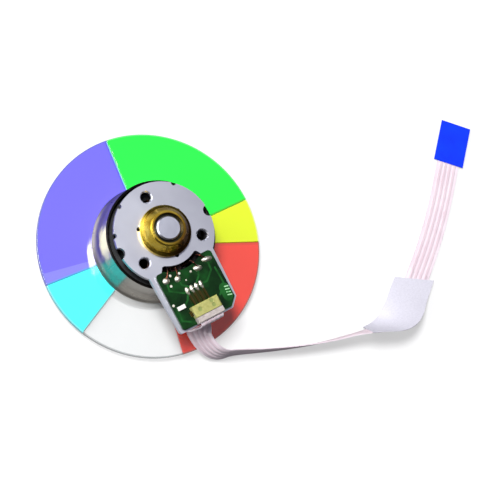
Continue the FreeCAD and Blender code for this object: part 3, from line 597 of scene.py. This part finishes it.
# The leads are single wires under the same enamel: red-brown, uneven over 0.5 mm, glossy.
lead_wire, tree = blank("lead_wire")
place = add(tree, "ShaderNodeTexCoord").outputs["Object"]
worn = add(tree, "ShaderNodeTexNoise", {"Scale": 2.0 * per_mm, "Detail": 2.0}, {"Vector": place})
tone = add(tree, "ShaderNodeValToRGB", {"stops": [(0.35, "#4a2012"), (0.65, "#6e3420")]},
           {0: worn})
metal = add(tree, "ShaderNodeBsdfPrincipled",
            {"Metallic": 1.0, "Roughness": 0.28, "Coat Weight": 0.4, "Coat Roughness": 0.1},
            {"Base Color": tone.outputs[0]})
add(tree, "ShaderNodeOutputMaterial", {}, {"Surface": metal})
dress("coil_leads", lead_wire)

# ------------------------------------------------------------------ tape under the board
# Double-sided tape on an amber film, cut to the board's outline. It holds the board on
# the tab and shows as a thin, dull line under the board's edge.
amber_tape, tree = blank("amber_tape")
place = add(tree, "ShaderNodeTexCoord").outputs["Object"]
fibres = add(tree, "ShaderNodeTexNoise", {"Scale": 3.0 * per_mm, "Detail": 2.0}, {"Vector": place})
tone = add(tree, "ShaderNodeValToRGB", {"stops": [(0.3, "#b49a5c"), (0.7, "#c9b27a")]},
           {0: fibres})
body = add(tree, "ShaderNodeBsdfPrincipled", {"Roughness": 0.5, "IOR": 1.5},
           {"Base Color": tone.outputs[0]})
add(tree, "ShaderNodeOutputMaterial", {}, {"Surface": body})
dress("board_tape", amber_tape)

# ------------------------------------------------------------------ terminal board
# Glass-fibre board with green solder mask over copper. The mask is glossy and shows the
# tracks under it as slightly raised, lighter lines; the vias and pads are tinned.
board_top = 13.65 * mm
flux_middle = (-0.3 * mm, -13.7 * mm)
flux_half = (2.2 * mm, 1.5 * mm)

# Solder mask: deep green, darker where there is no copper under it, over a 0.33 mm weave.
mask_green, tree = blank("mask_green")
place = add(tree, "ShaderNodeTexCoord").outputs["Object"]
fields = add(tree, "ShaderNodeTexNoise", {"Scale": 0.35 * per_mm, "Detail": 2.0},
             {"Vector": place})
tone = add(tree, "ShaderNodeValToRGB",
           {"stops": [(0.35, "#011e04"), (0.5, "#062c0a"), (0.7, "#0c4214")]}, {0: fields})
weave = add(tree, "ShaderNodeTexNoise", {"Scale": 3.0 * per_mm, "Detail": 1.0}, {"Vector": place})
flow = add(tree, "ShaderNodeBump", {"Strength": 0.15, "Distance": 0.01 * mm}, {"Height": weave})
# Flux has run out between the feet and the connector and has dried brown.
flux_room = add(tree, "ShaderNodeMapping", {"Location": (-flux_middle[0], -flux_middle[1], 0.0)},
                {0: place})
flux_shape = add(tree, "ShaderNodeMapping", {"Scale": (1 / flux_half[0], 1 / flux_half[1], 0.0)},
                 {0: flux_room})
flux_reach = add(tree, "ShaderNodeVectorMath", {"operation": "LENGTH"}, {0: flux_shape})
flux = add(tree, "ShaderNodeMapRange", {"From Min": 1.0, "From Max": 0.6, "To Max": 0.85},
           {"Value": flux_reach.outputs["Value"]})
tone = add(tree, "ShaderNodeMix", {"data_type": "RGBA", 7: "#2c2c08"}, {0: flux, 6: tone})
body = add(tree, "ShaderNodeBsdfPrincipled",
           {"Roughness": 0.24, "IOR": 1.5, "Specular IOR Level": 0.25},
           {"Base Color": tone.outputs[2], "Normal": flow})
add(tree, "ShaderNodeOutputMaterial", {}, {"Surface": body})
eased("board_panel", "circuit_board", "stator", 0.05 * mm, [mask_green])

# Tin over copper: bright, soft-edged and slightly uneven, as it cooled.
bright_tin, tree = blank("bright_tin")
place = add(tree, "ShaderNodeTexCoord").outputs["Object"]
cooled = add(tree, "ShaderNodeTexNoise", {"Scale": 2.2 * per_mm, "Detail": 3.0}, {"Vector": place})
tone = add(tree, "ShaderNodeValToRGB", {"stops": [(0.3, "#d8d2bc"), (0.6, "#f2efe4")]},
           {0: cooled})
skin = add(tree, "ShaderNodeBump", {"Strength": 0.5, "Distance": 0.03 * mm}, {"Height": cooled})
metal = add(tree, "ShaderNodeBsdfPrincipled", {"Metallic": 1.0, "Roughness": 0.44},
            {"Base Color": tone.outputs[0], "Normal": skin})
add(tree, "ShaderNodeOutputMaterial", {}, {"Surface": metal})

# The contacts' tails are tinned too, and painted dark brown between feet and housing, as
# painted shade.
brown_starts, brown_full = -12.2 * mm, -12.7 * mm
tin_with_shaded_tails, tree = blank("tin_with_shaded_tails")
place = add(tree, "ShaderNodeTexCoord").outputs["Object"]
along = add(tree, "ShaderNodeSeparateXYZ", {}, {0: place}).outputs[1]
tail_shade = add(tree, "ShaderNodeMapRange", {"From Min": brown_starts, "From Max": brown_full},
              {"Value": along})
tone = add(tree, "ShaderNodeMix", {"data_type": "RGBA", 6: "#ece8d8", 7: "#4e4222"}, {0: tail_shade})
metal = add(tree, "ShaderNodeBsdfPrincipled", {"Metallic": 1.0, "Roughness": 0.32},
            {"Base Color": tone.outputs[2]})
add(tree, "ShaderNodeOutputMaterial", {}, {"Surface": metal})
dress("connector_contacts", tin_with_shaded_tails)
dress("connector_anchors", tin_with_shaded_tails)

pad_sunk = 0.02 * mm


def pad(shape, x, y, length, width, angle, height, points=20):
    """A flat pad with round ends on the board, as a thin solid that starts just under it."""
    turned = Matrix.Rotation(math.radians(angle), 4, "Z")
    outline = []
    for i in range(points):
        a = 2 * math.pi * (i + 0.5) / points
        end = (length - width) / 2 * (1 if math.cos(a) > 0 else -1)
        outline.append(Vector((end + width / 2 * math.cos(a), width / 2 * math.sin(a), 0)))
    middle = Vector((x * mm, y * mm, board_top - pad_sunk))
    low = [shape.verts.new(turned @ p * mm + middle) for p in outline]
    high = [shape.verts.new(v.co + Vector((0, 0, height + pad_sunk))) for v in low]
    shape.faces.new(high)
    shape.faces.new(low[::-1])
    for i in range(points):
        j = (i + 1) % points
        shape.faces.new((low[i], low[j], high[j], high[i]))


# Copper tracks under the mask: they stand up a little and look lighter.
mask_over_copper, tree = blank("mask_over_copper")
place = add(tree, "ShaderNodeTexCoord").outputs["Object"]
fields = add(tree, "ShaderNodeTexNoise", {"Scale": 0.5 * per_mm, "Detail": 2.0}, {"Vector": place})
tone = add(tree, "ShaderNodeValToRGB", {"stops": [(0.35, "#0e4014"), (0.7, "#1c5c24")]},
           {0: fields})
body = add(tree, "ShaderNodeBsdfPrincipled",
           {"Roughness": 0.24, "IOR": 1.5, "Specular IOR Level": 0.25},
           {"Base Color": tone.outputs[0]})
add(tree, "ShaderNodeOutputMaterial", {}, {"Surface": body})


def run_on_board(shape, places, width, height):
    """A raised line through these places, as overlapping runs with round ends. Each run is
    a micrometre higher than the last, so that no two share a plane."""
    for i, ((x0, y0), (x1, y1)) in enumerate(zip(places, places[1:])):
        length = math.hypot(x1 - x0, y1 - y0)
        angle = math.degrees(math.atan2(y1 - y0, x1 - x0))
        pad(shape, (x0 + x1) / 2, (y0 + y1) / 2, length + width, width, angle,
            height + i * 0.001 * mm)


track_width = 0.34
track_height = 0.015 * mm
tracks = bmesh.new()
for places in ([(-4.56, -8.46), (-4.9, -10.4), (-2.6, -11.9), (-1.8, -11.9)],
               [(-2.35, -9.01), (-2.2, -10.4), (-0.8, -11.5)],
               [(2.14, -8.86), (1.6, -10.2), (0.2, -11.5)],
               [(4.55, -8.12), (4.3, -10.3), (2.6, -11.8), (1.2, -11.8)],
               [(-5.2, -14.1), (-5.4, -16.4), (-4.0, -17.2)],
               [(-3.6, -14.1), (-2.6, -13.4), (-2.0, -12.4)],
               [(5.2, -10.2), (5.3, -13.4), (3.6, -15.2)]):
    run_on_board(tracks, places, track_width, track_height)
pad(tracks, 4.9, -15.2, length=3.6, width=2.0, angle=90, height=0.01 * mm)
piece("board_tracks", tracks, "stator", [mask_over_copper])

# Printed marks along the board's edge: plain light green bars, the ink thin in places.
legend_ink, tree = blank("legend_ink")
place = add(tree, "ShaderNodeTexCoord").outputs["Object"]
thin = add(tree, "ShaderNodeTexNoise", {"Scale": 2.5 * per_mm, "Detail": 2.0}, {"Vector": place})
tone = add(tree, "ShaderNodeValToRGB", {"stops": [(0.35, "#5aac62"), (0.6, "#b4e0b4")]},
           {0: thin})
body = add(tree, "ShaderNodeBsdfPrincipled", {"Roughness": 0.55, "IOR": 1.5},
           {"Base Color": tone.outputs[0]})
add(tree, "ShaderNodeOutputMaterial", {}, {"Surface": body})
legend = bmesh.new()
for i in range(4):
    pad(legend, 5.42 - 0.04 * i, -14.3 - 0.56 * i, length=0.95, width=0.22, angle=-14,
        height=0.02 * mm)
piece("board_legend", legend, "stator", [legend_ink])

# Tinned vias, each a round pad.
vias = bmesh.new()
for x, y, size in ((-3.37, -7.89, 0.5), (-1.59, -8.22, 0.5), (-4.16, -9.70, 0.5),
                   (0.59, -8.86, 0.42), (-5.55, -13.12, 0.5), (-1.0, -9.9, 0.3)):
    pad(vias, x, y, length=size, width=size, angle=0, height=0.02 * mm)
piece("board_vias", vias, "stator", [bright_tin])

# ------------------------------------------------------------------ solder joints
# Hand-soldered tin on the four lead pads and reflowed tin on the four feet. The left
# two joints are round, the right two were drawn out with the iron.

# A joint is the upper half of a ball one across, flared at its foot and then stretched.
joint_cut = -0.02
flare_height = 0.25
flare_share = 0.18
joints = bmesh.new()
for x, y, length, width, angle, height in (
        (-4.56, -8.46, 1.35, 1.25, 0, 0.45), (-2.35, -9.01, 1.35, 1.15, 30, 0.45),
        (2.14, -8.86, 1.75, 1.1, -15, 0.42), (4.55, -8.12, 2.1, 1.05, -10, 0.45),
        (-1.8, -11.75, 1.35, 0.78, 80, 0.34), (-0.8, -11.75, 1.35, 0.78, 80, 0.34),
        (0.2, -11.75, 1.35, 0.78, 80, 0.34), (1.2, -11.75, 1.35, 0.78, 80, 0.34)):
    ball = bmesh.ops.create_uvsphere(joints, u_segments=24, v_segments=12, radius=0.5)["verts"]
    for vert in ball:
        vert.co.z = max(vert.co.z, joint_cut)
        flare = 1 + flare_share * max(0.0, flare_height - vert.co.z)
        vert.co = Vector((vert.co.x * length * flare, vert.co.y * width * flare,
                          vert.co.z * 2 * height))
        vert.co.rotate(Matrix.Rotation(math.radians(angle), 3, "Z"))
        vert.co = vert.co * mm + Vector((x * mm, y * mm, board_top))
bmesh.ops.remove_doubles(joints, verts=joints.verts, dist=same_place)
solder = piece("solder_tops", joints, "stator", [bright_tin])
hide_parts("solder_joints")

# ------------------------------------------------------------------ chip
# Surface-mounted chip of white ceramic with tinned ends, soldered flat on the board.
# Fired ceramic is white and smooth, with a soft gloss.
white_ceramic, tree = blank("white_ceramic")
place = add(tree, "ShaderNodeTexCoord").outputs["Object"]
fired = add(tree, "ShaderNodeTexNoise", {"Scale": 4.0 * per_mm, "Detail": 2.0}, {"Vector": place})
tone = add(tree, "ShaderNodeValToRGB", {"stops": [(0.3, "#e6e4dc"), (0.7, "#f4f3ee")]}, {0: fired})
body = add(tree, "ShaderNodeBsdfPrincipled", {"Roughness": 0.3, "IOR": 1.6},
           {"Base Color": tone.outputs[0]})
add(tree, "ShaderNodeOutputMaterial", {}, {"Surface": body})
eased("chip_body", "chip_resistor", "stator", 0.15 * mm, [white_ceramic], steps=4)

# ------------------------------------------------------------------ connector housing
# Moulded from beige-yellow nylon with glass fibre. Matt skin, soft mould edges, and
# fibres that show as a mottle of about 0.7 mm.
ejector_top = 15.2 * mm
mould_edge = 0.06 * mm
nylon_beige, tree = blank("nylon_beige")
place = add(tree, "ShaderNodeTexCoord").outputs["Object"]
fibres = add(tree, "ShaderNodeTexNoise", {"Scale": 1.5 * per_mm, "Detail": 3.0}, {"Vector": place})
tone = add(tree, "ShaderNodeValToRGB", {"stops": [(0.3, "#9b9950"), (0.7, "#b4b26d")]},
           {0: fibres})
skin = add(tree, "ShaderNodeBump", {"Strength": 0.3, "Distance": 0.02 * mm}, {"Height": fibres})
# Painted shade: the shallow ejector marks in its top are coloured darker and greener.
normal = add(tree, "ShaderNodeNewGeometry").outputs["Normal"]
facing = add(tree, "ShaderNodeSeparateXYZ", {}, {0: normal}).outputs[2]
level = add(tree, "ShaderNodeMath", {"operation": "GREATER_THAN", 1: facing_up}, {0: facing})
height = add(tree, "ShaderNodeSeparateXYZ", {}, {0: place}).outputs[2]
sunk = add(tree, "ShaderNodeMath", {"operation": "LESS_THAN", 1: ejector_top}, {0: height})
ejector_shade = add(tree, "ShaderNodeMath", {"operation": "MULTIPLY"}, {0: level, 1: sunk})
tone = add(tree, "ShaderNodeMix", {"data_type": "RGBA", 7: "#8a9450"}, {0: ejector_shade, 6: tone})
body = add(tree, "ShaderNodeBsdfPrincipled", {"Roughness": 0.45, "IOR": 1.53},
           {"Base Color": tone.outputs[2], "Normal": skin})
add(tree, "ShaderNodeOutputMaterial", {}, {"Surface": body})
eased("connector_shell", "connector_housing", "stator", mould_edge,
      [nylon_beige])

# ------------------------------------------------------------------ connector lock
# The slide that clamps the cable: moulded from the same nylon in off-white, matt, with a
# pinkish cast.
nylon_white, tree = blank("nylon_white")
place = add(tree, "ShaderNodeTexCoord").outputs["Object"]
fibres = add(tree, "ShaderNodeTexNoise", {"Scale": 1.5 * per_mm, "Detail": 3.0}, {"Vector": place})
tone = add(tree, "ShaderNodeValToRGB", {"stops": [(0.3, "#a89d98"), (0.7, "#c2b8b4")]},
           {0: fibres})
skin = add(tree, "ShaderNodeBump", {"Strength": 0.3, "Distance": 0.02 * mm}, {"Height": fibres})
body = add(tree, "ShaderNodeBsdfPrincipled", {"Roughness": 0.42, "IOR": 1.53},
           {"Base Color": tone.outputs[0], "Normal": skin})
add(tree, "ShaderNodeOutputMaterial", {}, {"Surface": body})
eased("lock_slide_bar", "connector_slider", "lock", mould_edge, [nylon_white])

# ------------------------------------------------------------------ flat cable
# Four flat copper conductors laminated between two films. It leaves the lock flat, drops
# past the board's edge onto the filters, stands on edge and ends lying flat.

# The route: x, y and z in mm, then the way that the cable heads in plan and how far it
# has rolled over, in degrees.
cable_route = [
    (-0.3, -15.4, 14.45, -90, 0), (-0.3, -17.15, 14.5, -90, 0), (-0.3, -18.5, 14.5, -90, 0),
    (-0.3, -19.0, 14.1, -90, 0), (-0.3, -18.9, 11.6, -90, 4), (-0.4, -18.5, 8.6, -90, 14),
    (-0.6, -18.5, 6.2, -90, 32), (-0.7, -19.6, 4.9, -90, 48), (-0.5, -21.8, 4.6, -86, 58),
    (0.5, -24.0, 4.0, -62, 68), (2.2, -25.4, 3.3, -42, 78), (4.8, -25.9, 2.8, -24, 86),
    (9.0, -27.7, 2.6, -22, 90), (15.0, -30.1, 2.6, -20, 93), (22.0, -32.4, 2.7, -16, 97),
    (28.6, -33.9, 3.9, -15, 100), (33.2, -35.3, 4.7, -14, 112), (37.0, -36.0, 4.3, 0, 132),
    (40.6, -34.9, 2.8, 24, 154), (44.2, -32.4, 0.9, 40, 174), (48.4, -29.3, 0.3, 44, 180),
    (53.8, -25.0, 0.22, 44, 180), (60.2, -19.0, 0.22, 45, 180), (66.0, -12.6, 0.22, 48, 180),
    (72.4, -5.7, 0.22, 48, 180),
]
cable_width = 4.8

guide_curve = bpy.data.curves.new("cable_guide", "CURVE")
guide_curve.dimensions = "3D"
guide_curve.resolution_u = 14
line = guide_curve.splines.new("NURBS")
line.points.add(len(cable_route) - 1)
for point, row in zip(line.points, cable_route):
    point.co = (row[0] * mm, row[1] * mm, row[2] * mm, 1.0)
line.order_u = 3
line.use_endpoint_u = True
guide = bpy.data.objects.new("cable_guide", guide_curve)
scene.collection.objects.link(guide)
bpy.context.view_layer.update()
guide_mesh = bpy.data.meshes.new_from_object(guide)
guide_points = [v.co.copy() for v in guide_mesh.vertices]
bpy.data.objects.remove(guide)


def side_at(share, direction):
    """From the cable's middle to its right-hand edge, at this share of the spline's length.
    Heading and roll keep in step with the route; the spline's two end spans are half ones."""
    last = len(cable_route) - 1
    place = share * (last - 1) + 0.5
    place = min(max(place, 0.5), last - 0.5)
    if place < 1:
        place = (place - 0.5) * 2
    elif place > last - 1:
        place = last - 1 + (place - last + 1) * 2
    first = min(int(place), last - 1)
    part = place - first
    here, there = cable_route[first], cable_route[first + 1]
    plan = math.radians(here[3] + (there[3] - here[3]) * part)
    tilt = math.radians(here[4] + (there[4] - here[4]) * part)
    side = Vector((math.cos(tilt) * math.sin(plan), -math.cos(tilt) * math.cos(plan),
                   -math.sin(tilt)))
    return (side - direction * side.dot(direction)).normalized()


# Stations along the cable: distance from the start, point, direction and side.
stations = []
run = 0.0
for i, point in enumerate(guide_points):
    before = guide_points[max(i - 1, 0)]
    after = guide_points[min(i + 1, len(guide_points) - 1)]
    direction = (after - before).normalized()
    run += (point - before).length
    stations.append((run, point, direction, side_at(i / (len(guide_points) - 1), direction)))


def station_at(distance):
    """Point, direction and side of the cable at a distance from its start."""
    for here, there in zip(stations, stations[1:]):
        if distance <= there[0] or there is stations[-1]:
            part = min(max((distance - here[0]) / (there[0] - here[0]), 0.0), 1.0)
            return [here[i].lerp(there[i], part) for i in (1, 2, 3)]


def strip(start, end, section, finishes, step=0.35 * mm, slant=0.0):
    """A strip along the cable from start to end. The section is a closed outline of (across,
    height) in mm, and finishes gives the material number of each of its sides. The end may
    be cut at a slant."""
    shape = bmesh.new()
    count = max(2, round((end - start) / step))
    rows = []
    for i in range(count + 1):
        row = []
        for a, h in section:
            cut = slant * (a - section[0][0]) * mm * i / count
            point, direction, side = station_at(start + (end - start) * i / count - cut)
            face = direction.cross(side).normalized()
            row.append(shape.verts.new(point + side * (a * mm) + face * (h * mm)))
        rows.append(row)
    for one, other in zip(rows, rows[1:]):
        for k in range(len(section)):
            n = (k + 1) % len(section)
            made = shape.faces.new((one[k], one[n], other[n], other[k]))
            made.material_index = finishes[k]
    shape.faces.new(rows[0][::-1])
    shape.faces.new(rows[-1])
    bmesh.ops.recalc_face_normals(shape, faces=shape.faces)
    return shape


# Polyester film: smooth, a little glossy, white with a pink cast that drifts over 4 mm.
pink_film, tree = blank("pink_film")
place = add(tree, "ShaderNodeTexCoord").outputs["Object"]
milky = add(tree, "ShaderNodeTexNoise", {"Scale": 0.25 * per_mm, "Detail": 3.0}, {"Vector": place})
tone = add(tree, "ShaderNodeValToRGB", {"stops": [(0.3, "#ecdae4"), (0.7, "#f2e5ed")]}, {0: milky})
body = add(tree, "ShaderNodeBsdfPrincipled", {"Roughness": 0.32, "IOR": 1.57},
           {"Base Color": tone.outputs[0]})
add(tree, "ShaderNodeOutputMaterial", {}, {"Surface": body})

# The same film where a copper conductor lies under it: darker and warmer.
film_over_copper, tree = blank("film_over_copper")
place = add(tree, "ShaderNodeTexCoord").outputs["Object"]
milky = add(tree, "ShaderNodeTexNoise", {"Scale": 0.25 * per_mm, "Detail": 3.0}, {"Vector": place})
tone = add(tree, "ShaderNodeValToRGB", {"stops": [(0.3, "#e0cad4"), (0.7, "#e9d6de")]}, {0: milky})
body = add(tree, "ShaderNodeBsdfPrincipled", {"Roughness": 0.3, "IOR": 1.57},
           {"Base Color": tone.outputs[0]})
add(tree, "ShaderNodeOutputMaterial", {}, {"Surface": body})

# Its section in mm: flat film that rises over each conductor, on both faces.
conductors = 4
conductor_pitch = 1.0
conductor_half = 0.32
film_half = 0.1
ridge_half = 0.15
slope = 0.08
top = [(-cable_width / 2, film_half)]
top_finish = []
for i in range(conductors):
    middle = (i - (conductors - 1) / 2) * conductor_pitch
    top += [(middle - conductor_half, film_half), (middle - conductor_half + slope, ridge_half),
            (middle + conductor_half - slope, ridge_half), (middle + conductor_half, film_half)]
    top_finish += [0, 1, 1, 1]
top.append((cable_width / 2, film_half))
top_finish += [0, 0]
section = top + [(a, -h) for a, h in reversed(top)]
finishes = top_finish + top_finish[:-1][::-1] + [0]
total = stations[-1][0]
cable = piece("cable_film", strip(0.0, total, section, finishes), "stator",
              [pink_film, film_over_copper])
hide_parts("ribbon_cable")

# ------------------------------------------------------------------ tag on the cable
# A plain self-adhesive paper tag, a little wider than the cable, stuck on before the
# cable was bent, so it follows the bend.
tag_start, tag_end = 50.4 * mm, 70.6 * mm
tag_width = 7.9
tag_shift = 0.5
tag_slant = 0.4
tag_thickness = 0.12

# Paper: cool white and matt. Its fibres are drawn as 0.3 mm, coarser than they are, so
# that they show.
white_paper, tree = blank("white_paper")
place = add(tree, "ShaderNodeTexCoord").outputs["Object"]
fibres = add(tree, "ShaderNodeTexNoise", {"Scale": 3.2 * per_mm, "Detail": 3.0}, {"Vector": place})
tone = add(tree, "ShaderNodeValToRGB", {"stops": [(0.3, "#ceccd8"), (0.7, "#d8d6e2")]},
           {0: fibres})
pulp = add(tree, "ShaderNodeBump", {"Strength": 0.15, "Distance": 0.01 * mm}, {"Height": fibres})
body = add(tree, "ShaderNodeBsdfPrincipled", {"Roughness": 0.7, "IOR": 1.5},
           {"Base Color": tone.outputs[0], "Normal": pulp})
add(tree, "ShaderNodeOutputMaterial", {}, {"Surface": body})


def flat_section(width, thickness, shift=0.0, columns=8):
    """A flat layer on the cable's face, in mm, with a few columns so that it can twist."""
    across = [width * (i / columns - 0.5) + shift for i in range(columns + 1)]
    return ([(a, ridge_half + thickness) for a in across]
            + [(a, ridge_half) for a in reversed(across)])


tag_section = flat_section(tag_width, tag_thickness, shift=tag_shift)
tag_shape = strip(tag_start, tag_end, tag_section, [0] * len(tag_section), slant=tag_slant)
tag = piece("tag_paper", tag_shape, "stator", [white_paper])
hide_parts("ribbon_label")

# ------------------------------------------------------------------ stiffened end
# Blue polyester stiffener, laminated on the cable's end, so that it can be pushed into a
# socket. On the other face the four conductors are bare and tinned.
stiff_length = 8.8 * mm
stiff_width = 6.5
stiff_thickness = 0.22

# Dyed polyester: a strong, even blue with a satin face.
blue_polyester, tree = blank("blue_polyester")
place = add(tree, "ShaderNodeTexCoord").outputs["Object"]
cast = add(tree, "ShaderNodeTexNoise", {"Scale": 0.3 * per_mm, "Detail": 2.0}, {"Vector": place})
tone = add(tree, "ShaderNodeValToRGB", {"stops": [(0.3, "#0032ea"), (0.7, "#003cf6")]}, {0: cast})
body = add(tree, "ShaderNodeBsdfPrincipled",
           {"Roughness": 0.38, "IOR": 1.57, "Specular IOR Level": 0.3},
           {"Base Color": tone.outputs[0]})
add(tree, "ShaderNodeOutputMaterial", {}, {"Surface": body})
stiff_section = flat_section(stiff_width, stiff_thickness)
stiff_shape = strip(total - stiff_length, total, stiff_section, [0] * len(stiff_section))
stiffener = piece("stiffener_blue", stiff_shape, "stator", [blue_polyester])
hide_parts("ribbon_stiffener")
dress("ribbon_fingers", bright_tin)
